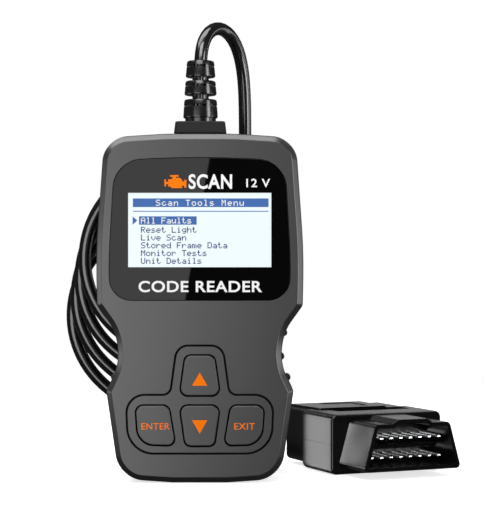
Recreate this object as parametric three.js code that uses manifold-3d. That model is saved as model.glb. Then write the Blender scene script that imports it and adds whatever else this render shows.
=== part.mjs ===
// A handheld vehicle code reader: a two-part case with a display and four keys, its lead, and the
// 16-pin diagnostic plug on the lead's end. Millimetres, +Z up. The case stands on its lower end
// with its face towards -Y, and the origin is under the middle of the case.
import * as THREE from "three";
import { mergeVertices } from "three/addons/utils/BufferGeometryUtils.js";
import Module from "manifold-3d";

const wasm = await Module();
wasm.setup();

// ---- driving dimensions ----
const CASE = { front: -12, back: 12, parting: 0, wall: 2, frontWall: 2.4, frontEdge: 2, backEdge: 2 };
const GAP = 0.3; // between pieces that touch
const CORD_RADIUS = 2.4;
const KEY = { front: -12.3, back: -8.4, flange: 1, flangeFront: -9.3, clearance: 0.45, travel: 0.6 };
const LENS = { front: CASE.front, back: -10.9, floor: -10.6 };
const SCREEN = { x: 0, z: 91.1, width: 51.6, height: 26.8 };
const BOARD = { front: -4.9, back: -3.3 };
const CHIP_BASE = BOARD.back + GAP;
const SCREW = { head: 2.5, headHeight: 1.8, shank: 1.2, hole: 1.5, headBack: 9.4, tip: -6.5 };
const SCREW_SPOTS = [[-28, 114.5], [28, 114.5], [-24.6, 8.6], [24.6, 8.6]];
const BOOT = { base: 130.2, top: 152.2 };
const PLUG = { x: 77.6, y: 1.2, turn: THREE.MathUtils.degToRad(23.6), shroudDepth: 19.8, housing: 25.8, tail: 19 };
const PIN = { pitch: 4, perRow: 8, lowRow: 7.4, highRow: 14.4, width: 1.7, thickness: 0.9, tip: 8 };
const COIL = {
  turns: 4, rearY: 36.1, pitchY: -4.9, ground: 2.6,
  // the three bends of a turn at the rear, each a centre and a radius, and how far each moves per turn
  left: { x: -17.6, z: 55.1, radius: 33.6, stepX: 2, stepZ: 7.23 },
  top: { x: -3, z: 61.7, radius: 27, stepX: 0, stepZ: 7.23 },
  low: { x: 5, z: 18.3, radius: 19, stepX: 0, stepZ: 11 },
};

// Right half of the case outline from the top middle down: x, z and corner radius.
const CASE_CORNERS = [
  [12, 125.1, 60], [34.8, 123.7, 9.5], [37.3, 82, 180], [36.9, 63.4, 2.6], [26.2, 48.5, 18.8],
  [33.6, 32.8, 2.2], [29, 1.3, 10.5], [10, 0, 0],
];
const LENS_CORNERS = [[30.9, 116.6, 8.5], [32.6, 80, 150], [32.3, 65.6, 8]];
const PAD_CORNERS = [ // the groove round the keys
  [8.2, 49.2, 4.6], [10.6, 31.6, 3], [26.4, 31.6, 6.5], [25.6, 10.6, 9.5],
];
const UP_CORNERS = [[5.1, 45.6, 2.2], [7.1, 31.4, 2.6]];
const DOWN_CORNERS = [[7.1, 27.7, 2.6], [5.1, 13.4, 2.2]];
const SIDE_CORNERS = [[-22.9, 27.7, 2.6], [-11.2, 27.7, 2.4], [-8.8, 13.6, 2.3], [-21.9, 13.9, 6]];
const BOARD_CORNERS = [[31, 117.5, 5], [32.3, 66, 4], [25.2, 50, 12], [28, 33.5, 3], [26, 4.5, 6]];
const SHROUD_CORNERS = [[15.5, 20.2, 1.8], [20.3, 2.9, 1.6]];

// ---- colours ----
const finish = (color, roughness, metalness = 0) => new THREE.MeshStandardMaterial({ color, roughness, metalness });
const GREY_PLASTIC = finish(0x565656, 0.5);
const BLACK_PLASTIC = finish(0x161616, 0.55);
const GLOSS_BLACK = finish(0x0a0a0a, 0.08);
const RUBBER = finish(0x1b1b1b, 0.7);
const CORD_SKIN = finish(0x141414, 0.3);
const STEEL = finish(0xa0a0a0, 0.35, 1);
const TIN = finish(0xc8c8c8, 0.3, 1);
const SCREEN_GLASS = finish(0xe4f2f6, 0.2);
const SILICONE = finish(0x303030, 0.8);
const BOARD_GREEN = finish(0x1d5a34, 0.5);
const CHIP_BLACK = finish(0x222222, 0.6);
const LABEL = finish(0xb8b8b8, 0.6);

// ---- outlines in the plane of the case face, as lists of Vector2(x, z) ----
function mirrored(corners) {
  const left = corners.map(([x, z, r]) => [-x, z, r]).reverse();
  return [...corners, ...left];
}

// A polygon with each corner rounded to its own radius.
function rounded(corners, stepAngle = 0.26) {
  const points = [];
  corners.forEach(([x, z, radius], i) => {
    const corner = new THREE.Vector2(x, z);
    const [px, pz] = corners[(i + corners.length - 1) % corners.length];
    const [nx, nz] = corners[(i + 1) % corners.length];
    const before = new THREE.Vector2(px, pz).sub(corner).normalize();
    const after = new THREE.Vector2(nx, nz).sub(corner).normalize();
    const inside = Math.acos(THREE.MathUtils.clamp(before.dot(after), -1, 1));
    if (radius === 0 || Math.PI - inside < 0.01) {
      points.push(corner);
      return;
    }
    const centre = before.clone().add(after).normalize().multiplyScalar(radius / Math.sin(inside / 2)).add(corner);
    const reach = radius / Math.tan(inside / 2);
    const start = before.multiplyScalar(reach).add(corner).sub(centre);
    const end = after.multiplyScalar(reach).add(corner).sub(centre);
    const sweep = Math.atan2(start.cross(end), start.dot(end));
    const steps = Math.max(2, Math.ceil(Math.abs(sweep) / stepAngle));
    for (let k = 0; k <= steps; k++) {
      points.push(start.clone().rotateAround(new THREE.Vector2(), (sweep * k) / steps).add(centre));
    }
  });
  return points;
}

// The outline moved outwards by distance, or inwards where it is negative.
function offset(points, distance) {
  const clockwise = THREE.ShapeUtils.isClockWise(points) ? 1 : -1;
  const sides = points.map((p, i) => points[(i + 1) % points.length].clone().sub(p).normalize());
  return points.map((p, i) => {
    const a = sides[(i + points.length - 1) % points.length];
    const b = sides[i];
    const out = new THREE.Vector2(-(a.y + b.y), a.x + b.x).normalize();
    const stretch = Math.max(0.5, Math.sqrt((1 + a.dot(b)) / 2));
    return out.multiplyScalar((clockwise * distance) / stretch).add(p);
  });
}

function rectangle(x, z, width, height, radius = 0) {
  const [w, h] = [width / 2, height / 2];
  return rounded([[x - w, z + h, radius], [x + w, z + h, radius], [x + w, z - h, radius], [x - w, z - h, radius]]);
}

function circle(x, z, radius, sides = 16) {
  return Array.from({ length: sides }, (_, i) => {
    const angle = (2 * Math.PI * i) / sides;
    return new THREE.Vector2(x + radius * Math.cos(angle), z + radius * Math.sin(angle));
  });
}

const caseOutline = rounded(mirrored(CASE_CORNERS));
const lensOutline = rounded(mirrored(LENS_CORNERS));
const padOutline = rounded(mirrored(PAD_CORNERS));
const keyOutlines = {
  key_up: rounded(mirrored(UP_CORNERS)),
  key_down: rounded(mirrored(DOWN_CORNERS)),
  key_enter: rounded(SIDE_CORNERS),
  key_exit: rounded(SIDE_CORNERS.map(([x, z, r]) => [-x, z, r])),
};

// ---- solids ----
function solid(geometry) {
  const bare = geometry.clone();
  bare.deleteAttribute("normal");
  bare.deleteAttribute("uv");
  const merged = mergeVertices(bare, 1e-4);
  return new wasm.Manifold(new wasm.Mesh({
    numProp: 3,
    vertProperties: new Float32Array(merged.attributes.position.array),
    triVerts: new Uint32Array(merged.index.array),
  }));
}

function geometryOf(made) {
  const mesh = made.getMesh();
  const geometry = new THREE.BufferGeometry();
  geometry.setAttribute("position", new THREE.BufferAttribute(new Float32Array(mesh.vertProperties), 3));
  geometry.setIndex(new THREE.BufferAttribute(new Uint32Array(mesh.triVerts), 1));
  geometry.computeVertexNormals();
  return geometry;
}

const joined = (solids) => solids.reduce((a, b) => a.add(b));
const without = (base, cuts) => cuts.reduce((a, b) => a.subtract(b), base);

// An outline drawn out along Y from front to back, with its end edges bevelled by edge.
function slab(points, front, back, edge = 0) {
  const bevel = edge > 0
    ? { bevelEnabled: true, bevelThickness: edge, bevelSize: edge, bevelOffset: -edge, bevelSegments: 1 }
    : { bevelEnabled: false };
  const geometry = new THREE.ExtrudeGeometry(new THREE.Shape(points), { depth: back - front - 2 * edge, ...bevel });
  return solid(geometry.rotateX(Math.PI / 2).translate(0, back - edge, 0));
}

function block(x, y, z, width, depth, height) {
  return solid(new THREE.BoxGeometry(width, depth, height).translate(x, y, z));
}

// A cylinder along Y, between two depths.
const rod = (x, z, radius, front, back, sides = 16) => slab(circle(x, z, radius, sides), front, back);

// A profile of (radius, height) turned about the Z axis.
function turned(profile, segments = 24) {
  return new THREE.LatheGeometry(profile.map(([r, z]) => new THREE.Vector2(r, z)), segments).rotateX(Math.PI / 2);
}

// A round tube along a smooth curve through the points.
function tube(points, radius, steps, sides = 8) {
  const path = new THREE.CatmullRomCurve3(points.map((p) => new THREE.Vector3(...p)));
  const section = new THREE.Shape(circle(0, 0, radius, sides));
  return new THREE.ExtrudeGeometry(section, { steps, bevelEnabled: false, extrudePath: path });
}

// ---- the tree of named meshes ----
const reader = new THREE.Group();
const plug = new THREE.Group();
plug.position.set(PLUG.x, PLUG.y, 0);
plug.rotation.z = PLUG.turn;
reader.add(plug);

function piece(name, shape, material, group = reader) {
  const mesh = new THREE.Mesh(shape instanceof THREE.BufferGeometry ? shape : geometryOf(shape), material);
  mesh.name = name;
  group.add(mesh);
}

// ---- case shells ----
const beforeParting = block(0, CASE.parting - GAP / 2 - 30, 65, 120, 60, 160);
const behindParting = block(0, CASE.parting + GAP / 2 + 30, 65, 120, 60, 160);
const CORD_NECK = { width: 12, depth: 9 };

function cordSlot() {
  return block(0, 0, 124, CORD_NECK.width + 2 * GAP, CORD_NECK.depth + 2 * GAP, 12);
}

function frontShell() {
  const shell = slab(caseOutline, CASE.front, 4, CASE.frontEdge).intersect(beforeParting);
  const cavity = slab(offset(caseOutline, -CASE.wall), CASE.front + CASE.frontWall, 4);
  const groove = slab(offset(padOutline, 0.45), -14, -11.5).subtract(slab(offset(padOutline, -0.45), -15, -10));
  const posts = SCREW_SPOTS.map(([x, z]) => rod(x, z, 2.8, CASE.front + 1, -1).subtract(rod(x, z, SCREW.hole, -9, 4, 12)));
  const keyHoles = Object.values(keyOutlines).map((points) => slab(offset(points, KEY.clearance), -14, 0));
  const cuts = [
    groove, ...keyHoles, cordSlot(),
    slab(offset(lensOutline, GAP), -14, LENS.floor),
    slab(rectangle(SCREEN.x, SCREEN.z, SCREEN.width + 2.4, SCREEN.height + 2.4), -14, 0),
  ];
  return without(shell.subtract(cavity).add(joined(posts)), cuts);
}

const GRIP = { depth: 1, front: 2.2, back: 9.2, top: 61, bottom: 35.5, ribRadius: 1.25, ribs: [54.4, 46, 37.6] };

function gripZone(side, margin) {
  const height = GRIP.top - GRIP.bottom - 2 * margin;
  const depth = GRIP.back - GRIP.front - 2 * margin;
  return block(side * 32, (GRIP.front + GRIP.back) / 2, (GRIP.top + GRIP.bottom) / 2, 24, depth, height);
}

// The strip of the case side between two distances inside the outline, on one side of the waist.
function gripStrip(side, outer, inner, margin) {
  const skin = slab(offset(caseOutline, outer), 1, 11).subtract(slab(offset(caseOutline, inner), 0, 12));
  return skin.intersect(gripZone(side, margin));
}

const LABEL_PLATE = { width: 40, height: 26, z: 86, depth: 0.5 };

function rearShell() {
  const shell = slab(caseOutline, -5, CASE.back, CASE.backEdge).intersect(behindParting);
  const cavity = slab(offset(caseOutline, -CASE.wall), -6, CASE.back - CASE.wall);
  const posts = SCREW_SPOTS.map(([x, z]) => rod(x, z, 3.8, 1, CASE.back - 1, 20));
  const holes = SCREW_SPOTS.flatMap(([x, z]) => [
    rod(x, z, SCREW.hole, -1, 14, 12),
    rod(x, z, SCREW.head + GAP, SCREW.headBack - SCREW.headHeight - GAP, 14, 20),
  ]);
  const label = slab(rectangle(0, LABEL_PLATE.z, LABEL_PLATE.width, LABEL_PLATE.height, 2), CASE.back - LABEL_PLATE.depth, 14);
  const grips = [-1, 1].map((side) => gripStrip(side, 3, -GRIP.depth, 0));
  return without(shell.subtract(cavity).add(joined(posts)), [...holes, label, ...grips, cordSlot()]);
}

// Where the case side is at a height, as seen from the front.
function halfWidthAt(z) {
  const crossings = caseOutline.flatMap((a, i) => {
    const b = caseOutline[(i + 1) % caseOutline.length];
    const crosses = (a.y - z) * (b.y - z) <= 0 && a.y !== b.y;
    return crosses ? [a.x + ((b.x - a.x) * (z - a.y)) / (b.y - a.y)] : [];
  });
  return Math.max(...crossings);
}

function sideGrip(side) {
  const ribs = GRIP.ribs.map((z) => rod(side * (halfWidthAt(z) - 0.1), z, GRIP.ribRadius, GRIP.front + 1, GRIP.back - 1, 12));
  const strip = gripStrip(side, -0.1, -GRIP.depth + GAP, GAP);
  return joined([strip, ...ribs]).subtract(slab(offset(caseOutline, -GRIP.depth + GAP), 0, 12));
}

piece("front_shell", frontShell(), GREY_PLASTIC);
piece("rear_shell", rearShell(), BLACK_PLASTIC);
piece("side_grip_left", sideGrip(-1), RUBBER);
piece("side_grip_right", sideGrip(1), RUBBER);
piece("display_lens", slab(lensOutline, LENS.front, LENS.back), GLOSS_BLACK);
piece("rating_plate", slab(
  rectangle(0, LABEL_PLATE.z, LABEL_PLATE.width - 2 * GAP, LABEL_PLATE.height - 2 * GAP, 1.8),
  CASE.back - LABEL_PLATE.depth + 0.2, CASE.back - 0.05,
), LABEL);

// ---- display module, behind the lens ----
const MODULE = { width: 62, height: 36.6, front: -9.3, back: -5.6, skin: 0.6 };
const moduleBox = (grow, front, back) =>
  slab(rectangle(SCREEN.x, SCREEN.z, MODULE.width + grow, MODULE.height + grow), front, back);
const viewHole = slab(rectangle(SCREEN.x, SCREEN.z, SCREEN.width + 1, SCREEN.height + 1), -12, 0);
piece("display_bezel", moduleBox(0, MODULE.front, MODULE.back)
  .subtract(moduleBox(-2 * MODULE.skin, MODULE.front + MODULE.skin, 0)).subtract(viewHole), STEEL);
piece("display_glass", moduleBox(-2 * (MODULE.skin + GAP), -8.4, -6.9), SCREEN_GLASS);
piece("display_backlight", moduleBox(-2 * (MODULE.skin + GAP), -6.6, -5.7), LABEL);
piece("display_connector", block(0, -6.9, 70.6, 38, 3.4, 2.4), CHIP_BLACK);

// ---- keys, their mat and their switches ----
const SWITCH_CENTRES = { up: [0, 38.5], down: [0, 20.6], enter: [-16, 20.8], exit: [16, 20.8] };
Object.entries(keyOutlines).forEach(([name, points]) => {
  const cap = slab(points, KEY.front, KEY.back, 0.4);
  const flange = slab(offset(points, KEY.flange), KEY.flangeFront, KEY.back);
  piece(name, cap.add(flange), GREY_PLASTIC);
});
const switchWells = Object.values(SWITCH_CENTRES).flatMap(([x, z]) => [
  rod(x, z, 2.2, -9, -5),
  slab(rectangle(x, z, 6.8, 6.8), -6.8, -5),
]);
piece("key_mat", without(slab(offset(padOutline, -1), -7.5, BOARD.front - GAP), switchWells), SILICONE);
Object.entries(SWITCH_CENTRES).forEach(([name, [x, z]]) => {
  const body = block(x, (BOARD.front - GAP - 6.5) / 2, z, 6, 6.5 + BOARD.front - GAP, 6);
  piece(`key_switch_${name}`, body.add(rod(x, z, 1.75, -7.7, -6, 12)), CHIP_BLACK);
});

// ---- circuit board and what is on its back ----
const boardOutline = rounded(mirrored(BOARD_CORNERS));
const boardCuts = SCREW_SPOTS.map(([x, z]) => rod(x, z, 4.2, -6, 0, 14));
piece("circuit_board", without(slab(boardOutline, BOARD.front, BOARD.back), boardCuts), BOARD_GREEN);
const onBoard = (x, z, width, height, thick) => block(x, CHIP_BASE + thick / 2, z, width, thick, height);
piece("processor_chip", onBoard(0, 62, 14, 14, 1.4), CHIP_BLACK);
piece("memory_chip", onBoard(17, 64, 5.3, 6, 1.6), CHIP_BLACK);
piece("bus_transceiver_chip", onBoard(-16, 92, 6, 5, 1.6), CHIP_BLACK);
piece("clock_crystal", onBoard(-15, 62, 11, 4.4, 3.4), STEEL);
piece("voltage_regulator", onBoard(16, 96, 6.6, 6.2, 2.3), CHIP_BLACK);
piece("supply_capacitor", rod(24, 82, 3.2, CHIP_BASE, 4.6), STEEL);
piece("cord_header", onBoard(0, 104, 24, 6, 5.2), LABEL);

// ---- where the cord leaves the case ----
function cordCollar() {
  const top = new THREE.CylinderGeometry(12.6, 13.3, 4, 4, 1).rotateY(Math.PI / 4).rotateX(Math.PI / 2);
  const cap = solid(top.scale(1, 0.74, 1).translate(0, 0, 127.9));
  const neck = block(0, 0, 124.2, CORD_NECK.width, CORD_NECK.depth, 6.6);
  const flange = block(0, 0, 121, CORD_NECK.width + 5, CORD_NECK.depth + 3, 2.4);
  return joined([cap, neck, flange]);
}
piece("cord_collar", cordCollar(), RUBBER);

// Three stiff rings on a slim core, each with a groove under its lip, smaller towards the top.
const BOOT_RINGS = [{ bottom: 131.3, top: 138, radius: 6.3 }, { bottom: 139.7, top: 144.8, radius: 5.7 }, { bottom: 146.2, top: BOOT.top, radius: 5.2 }];
const BOOT_CORE = 3.1;
const bootProfile = BOOT_RINGS.flatMap(({ bottom, top, radius }) => [
  [BOOT_CORE, bottom], [radius, bottom], [radius - 0.2, top - 2.7], [radius - 0.8, top - 2.5],
  [radius - 0.8, top - 2.1], [radius - 0.3, top - 1.9], [radius - 0.5, top - 0.5], [radius - 1, top], [BOOT_CORE, top],
]);
piece("strain_relief", turned([[0, BOOT.base], [5.2, BOOT.base], [5.2, BOOT_RINGS[0].bottom], ...bootProfile.slice(1, -1), [0, BOOT.top]], 16), RUBBER);

// ---- case screws, heads to the back ----
SCREW_SPOTS.forEach(([x, z], i) => {
  const shank = rod(x, z, SCREW.shank, SCREW.tip, SCREW.headBack - 1, 10);
  const head = rod(x, z, SCREW.head, SCREW.headBack - SCREW.headHeight, SCREW.headBack, 14);
  const cross = [block(x, SCREW.headBack, z, 2.8, 1.6, 0.6), block(x, SCREW.headBack, z, 0.6, 1.6, 2.8)];
  piece(`case_screw_${i + 1}`, without(head.add(shank), cross), STEEL);
});

// ---- the cord: down behind the case, round its coil, and back over the ground to the plug ----
const LEAD_ROUTE = [
  [0, 0, 152.5], [0, 0.2, 156], [1.8, 3.2, 161.6], [7, 11.5, 165.4], [12.6, 20.8, 161.2],
  [15.4, 26, 152], [16.2, 28.4, 139], [16.3, 30.2, 124], [16.9, 32.4, 108], [18.6, 34.4, 92],
];
const TAIL_ROUTE = [
  [24, 16.5, 37.4], [24, 16.6, 29], [24.2, 17.8, 20], [24.6, 21.6, 11.4], [25, 28.6, 5], [24.4, 38, 2.8],
  [21, 48.6, 2.6], [15.6, 59, 2.6], [11, 70, 2.6], [8.8, 81, 2.6], [10.6, 91.6, 2.6], [17.4, 99.4, 2.8],
  [26.6, 101, 4], [34.6, 96.6, 6.4], [39.6, 89.6, 9.2], [42.8, 82.8, 10.8], [44.9, 78, 11.2],
];
piece("cord_lead", tube(LEAD_ROUTE, CORD_RADIUS, 26), CORD_SKIN);
piece("cord_tail", tube(TAIL_ROUTE, CORD_RADIUS, 40), CORD_SKIN);

// The coil's own solid: a ring as wide as the turns side by side. It rises towards the case, and
// the tie's side is pinched to the strands.
const TIE = { low: 53.5, high: 61, ends: [[24, 36.1], [24, 16.5]] };

// A stadium round the bundle's two end strands, drawn out along Z.
function bundle(radius, low, high) {
  const [[ax, ay], [bx, by]] = TIE.ends;
  const [a, b] = [new THREE.Vector2(ax, ay), new THREE.Vector2(bx, by)];
  const heading = b.clone().sub(a).angle();
  const arc = (centre, start) => Array.from({ length: 9 }, (_, i) =>
    new THREE.Vector2(radius, 0).rotateAround(new THREE.Vector2(), start + (Math.PI * i) / 8).add(centre));
  const outline = new THREE.Shape([...arc(b, heading - Math.PI / 2), ...arc(a, heading + Math.PI / 2)]);
  return solid(new THREE.ExtrudeGeometry(outline, { depth: high - low, bevelEnabled: false }).translate(0, 0, low));
}

// Where the outline drawn tight round a turn's three bends faces one way, some turns from the rear.
function turnPoint(turn, angle, grow) {
  const facing = new THREE.Vector2(Math.cos(angle), Math.sin(angle));
  const bends = [COIL.left, COIL.top, COIL.low].map(({ x, z, radius, stepX, stepZ }) =>
    new THREE.Vector2(x + stepX * turn, Math.max(z + stepZ * turn, radius + COIL.ground))
      .addScaledVector(facing, radius + grow));
  return bends.reduce((best, bend) => (bend.dot(facing) > best.dot(facing) ? bend : best));
}

function cordCoil() {
  const around = 44;
  const layers = Array.from({ length: COIL.turns }, (_, i) => i + 0.3);
  const depths = layers.map((turn) => COIL.rearY + COIL.pitchY * turn);
  depths[0] += CORD_RADIUS;
  depths[depths.length - 1] -= CORD_RADIUS + 2;
  const section = [
    ...layers.map((turn, i) => ({ turn, y: depths[i], grow: CORD_RADIUS })),
    ...layers.map((turn, i) => ({ turn, y: depths[i], grow: -CORD_RADIUS })).reverse(),
  ];
  const at = (i, j) => {
    const { turn, y, grow } = section[j % section.length];
    const point = turnPoint(turn, (2 * Math.PI * (i % around)) / around, grow);
    return [point.x, y, point.y];
  };
  const positions = [];
  for (let i = 0; i < around; i++) {
    for (let j = 0; j < section.length; j++) {
      positions.push(...at(i, j), ...at(i + 1, j + 1), ...at(i, j + 1), ...at(i, j), ...at(i + 1, j), ...at(i + 1, j + 1));
    }
  }
  const ring = new THREE.BufferGeometry();
  ring.setAttribute("position", new THREE.BufferAttribute(new Float32Array(positions), 3));
  const clear = block(30, 26, (TIE.low + TIE.high) / 2, 60, 40, TIE.high - TIE.low + 4 * GAP);
  return solid(ring).subtract(clear).add(bundle(CORD_RADIUS, TIE.low - 5, TIE.high + 5));
}
piece("cord_coil", cordCoil(), CORD_SKIN);
piece("cord_tie", bundle(CORD_RADIUS + GAP + 1.3, TIE.low, TIE.high)
  .subtract(bundle(CORD_RADIUS + GAP, TIE.low - 1, TIE.high + 1)), RUBBER);

// ---- the plug, pointing to -Y in its own group, with its mouth at y = 0 ----
const HOUSING = { width: 46.6, bottom: 0, top: 22.3, front: PLUG.shroudDepth, split: 11.2 };
const TAIL = { width: 42.4, bottom: 1.6, top: 21.4 };
const housingBack = HOUSING.front + PLUG.housing;
const tailBack = housingBack + PLUG.tail;
const housingOutline = rectangle(0, (HOUSING.top + HOUSING.bottom) / 2, HOUSING.width, HOUSING.top - HOUSING.bottom, 1.6);
const tailOutline = rectangle(0, (TAIL.top + TAIL.bottom) / 2, TAIL.width, TAIL.top - TAIL.bottom, 2);
const shroudOutline = rounded(mirrored(SHROUD_CORNERS));
const SHROUD = { wall: 1.5, floor: 18, back: 27, keyWidth: 14, keyHeight: 1.5 };

// One half of the housing: everything of it above or below the split.
function housingHalf(low, high) {
  const outer = slab(housingOutline, HOUSING.front, housingBack, 0.7)
    .add(slab(tailOutline, housingBack - 1, tailBack, 1.2));
  const inside = joined([
    slab(offset(shroudOutline, GAP), 0, SHROUD.back + GAP),
    slab(rectangle(0, 12.2, SHROUD.keyWidth + 2 * GAP, 19.2), 0, SHROUD.back + GAP),
    slab(rectangle(0, 11.2, 32, 16), SHROUD.back - 2, tailBack - 3),
    slab(circle(0, 11.2, 3.6), tailBack - 5, tailBack + 2),
  ]);
  const wells = [-1, 1].map((side) => slab(rectangle(side * 19.6, 11.2, 3.4, 13, 1), HOUSING.front + 6, housingBack - 4));
  const fingerDip = block(0, housingBack + 1, 23.4, 26, 14, 4);
  return without(outer, [inside, ...wells, fingerDip]).intersect(block(0, 40, (low + high) / 2, 60, 70, high - low));
}
piece("plug_housing_lower", housingHalf(-1, HOUSING.split - GAP / 2), BLACK_PLASTIC, plug);
piece("plug_housing_upper", housingHalf(HOUSING.split + GAP / 2, 30), BLACK_PLASTIC, plug);

// The D-shaped shroud with the raised keyway on its top, the floor that the pins stand in and the rib between rows.
function plugShroud() {
  const keyway = (grow, front, back) =>
    slab(rounded(mirrored([[SHROUD.keyWidth / 2 - 0.8 + grow, 21.7 + grow, 0.4], [SHROUD.keyWidth / 2 + grow, 18, 0]])), front, back);
  const outer = slab(shroudOutline, 0, SHROUD.back).add(keyway(0, 0, HOUSING.front - GAP));
  const cavity = slab(offset(shroudOutline, -SHROUD.wall), -1, SHROUD.floor).add(keyway(-SHROUD.wall + 0.4, -1, SHROUD.floor));
  const rib = block(0, SHROUD.floor - 3, 10.9, 30, 8, 1.6);
  const slots = pinPlaces().map(({ x, z }) => block(x, SHROUD.floor + 4, z, PIN.width + 2 * GAP, 14, PIN.thickness + 2 * GAP));
  return without(outer.subtract(cavity).add(rib), slots);
}

function pinPlaces() {
  return [PIN.highRow, PIN.lowRow].flatMap((z) =>
    Array.from({ length: PIN.perRow }, (_, i) => ({ x: (i - (PIN.perRow - 1) / 2) * PIN.pitch, z })));
}
piece("plug_shroud", plugShroud(), BLACK_PLASTIC, plug);
pinPlaces().forEach(({ x, z }, i) => {
  const blade = slab(rectangle(x, z, PIN.width, PIN.thickness), PIN.tip, SHROUD.back + 2, 0.3);
  piece(`plug_pin_${i + 1}`, blade, TIN, plug);
});

const PLUG_BOOT = { z: 11.2, front: tailBack - 4, back: tailBack + 16 };
function plugBoot() {
  const rings = Array.from({ length: 4 }, (_, i) => [
    [4.4 - 0.3 * i, 1 + 4 * i], [4.3 - 0.3 * i, 3.4 + 4 * i], [3, 3.6 + 4 * i], [3, 4.8 + 4 * i],
  ]).flat();
  const profile = [[0, -4], [3.2, -4], [3.2, 1], ...rings, [0, 16.8]];
  return turned(profile, 14).rotateX(-Math.PI / 2).translate(0, tailBack, PLUG_BOOT.z);
}
piece("plug_strain_relief", plugBoot(), RUBBER, plug);

export default reader;
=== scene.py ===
# Handheld code reader with its cord and diagnostic plug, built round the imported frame.
import math
from itertools import accumulate

import bmesh
import bpy
from mathutils import Matrix, Vector


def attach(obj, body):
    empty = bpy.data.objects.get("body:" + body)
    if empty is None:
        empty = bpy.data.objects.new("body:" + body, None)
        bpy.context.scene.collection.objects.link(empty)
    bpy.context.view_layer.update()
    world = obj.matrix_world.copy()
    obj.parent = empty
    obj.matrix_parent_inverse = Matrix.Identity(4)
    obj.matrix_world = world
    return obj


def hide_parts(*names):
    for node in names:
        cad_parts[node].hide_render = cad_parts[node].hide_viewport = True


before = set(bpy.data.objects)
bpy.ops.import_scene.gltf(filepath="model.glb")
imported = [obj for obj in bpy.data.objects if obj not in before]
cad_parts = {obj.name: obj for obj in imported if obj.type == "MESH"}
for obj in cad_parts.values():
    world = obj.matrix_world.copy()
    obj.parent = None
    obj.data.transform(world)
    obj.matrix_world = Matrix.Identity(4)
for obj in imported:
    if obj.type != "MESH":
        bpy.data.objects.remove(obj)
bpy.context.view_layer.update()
print("frame loaded:", len(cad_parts), "nodes")

# Everything is drawn in millimetres, with the case's lower end at z = 0 and the display towards -y.
mm = 0.001


menuSet = {
    "dot": 0.305, "dotSize": 0.335, "ink": 0.04,
    "header": "Scan Tools Menu", "headerX": 0.35, "headerZ": 100.25, "headerPitch": 7,
    "rows": ["All Faults", "Reset Light", "Live Scan", "Stored Frame Data", "Monitor Tests", "Unit Details"],
    "rowX": -21.0, "firstZ": 93.9, "secondZ": 90.6, "rowPitch": 2.78,
    # x, z, width and height of the header's bar, the rule under it and the bar of the chosen row
    "bars": [(0.35, 100.25, 48.5, 3.1), (0.35, 97.2, 48.5, 0.32), (-11.4, 93.9, 20.6, 3.0)],
    "arrow": [(-24.0, 95.4, 0), (-22.3, 93.9, 0), (-24.0, 92.4, 0)],
}


class Wire:
    # A socket that takes arithmetic.
    def __init__(self, finish, socket):
        self.finish = finish
        self.socket = socket

    def math(self, operation, other=None, clamp=False):
        pair = [self] if other is None else [self, other]
        settings = {"operation": operation, "use_clamp": clamp}
        return self.finish.node("ShaderNodeMath", settings, dict(enumerate(pair)))

    def __add__(self, other):
        return self.math("ADD", other)

    def __mul__(self, other):
        return self.math("MULTIPLY", other)

    def __truediv__(self, other):
        return self.math("DIVIDE", other)

    def __gt__(self, other):
        return self.math("GREATER_THAN", other)

    def clamped(self):
        return self.math("ADD", 0.0, clamp=True)


class Finish:
    # A material and the few nodes that most of them share.
    def __init__(self, name, colour, roughness, **constants):
        self.material = bpy.data.materials.new(name)
        self.material.use_nodes = True
        self.tree = self.material.node_tree
        self.shader = self.tree.nodes["Principled BSDF"]
        self.material.diffuse_color = (*colour, 1)
        self.shader.inputs["Base Color"].default_value = (*colour, 1)
        self.shader.inputs["Roughness"].default_value = roughness
        for name, value in constants.items():
            self.shader.inputs[name.replace("_", " ")].default_value = value

    def node(self, kind, settings=None, inputs=None, output=0):
        made = self.tree.nodes.new(kind)
        for key, value in (settings or {}).items():
            setattr(made, key, value)
        for key, value in (inputs or {}).items():
            if isinstance(value, Wire):
                self.tree.links.new(value.socket, made.inputs[key])
            else:
                made.inputs[key].default_value = value
        return Wire(self, made.outputs[output])

    def place(self, scale=(1, 1, 1)):
        spot = self.node("ShaderNodeTexCoord", output="Object")
        return self.node("ShaderNodeMapping", inputs={"Vector": spot, "Scale": scale})

    def axes(self):
        parts = self.node("ShaderNodeSeparateXYZ", inputs={0: self.place()})
        split = parts.socket.node
        return [Wire(self, split.outputs[i]) / mm for i in range(3)]

    def noise(self, size, detail=3.0, stretch=(1, 1, 1)):
        # size is that of one patch, in millimetres
        inputs = {"Vector": self.place(stretch), "Scale": 1 / (size * mm), "Detail": detail}
        return self.node("ShaderNodeTexNoise", {}, inputs)

    def blend(self, factor, first, second):
        inputs = {0: factor, 6: (*first, 1) if isinstance(first, tuple) else first,
                  7: (*second, 1) if isinstance(second, tuple) else second}
        return self.node("ShaderNodeMix", {"data_type": "RGBA"}, inputs, output=2)

    def relief(self, height, depth):
        # depth in millimetres
        return self.node("ShaderNodeBump", {}, {"Height": height, "Distance": depth * mm, "Strength": 1.0})

    def feed(self, **links):
        for name, wire in links.items():
            self.tree.links.new(wire.socket, self.shader.inputs[name.replace("_", " ")])
        return self


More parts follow.
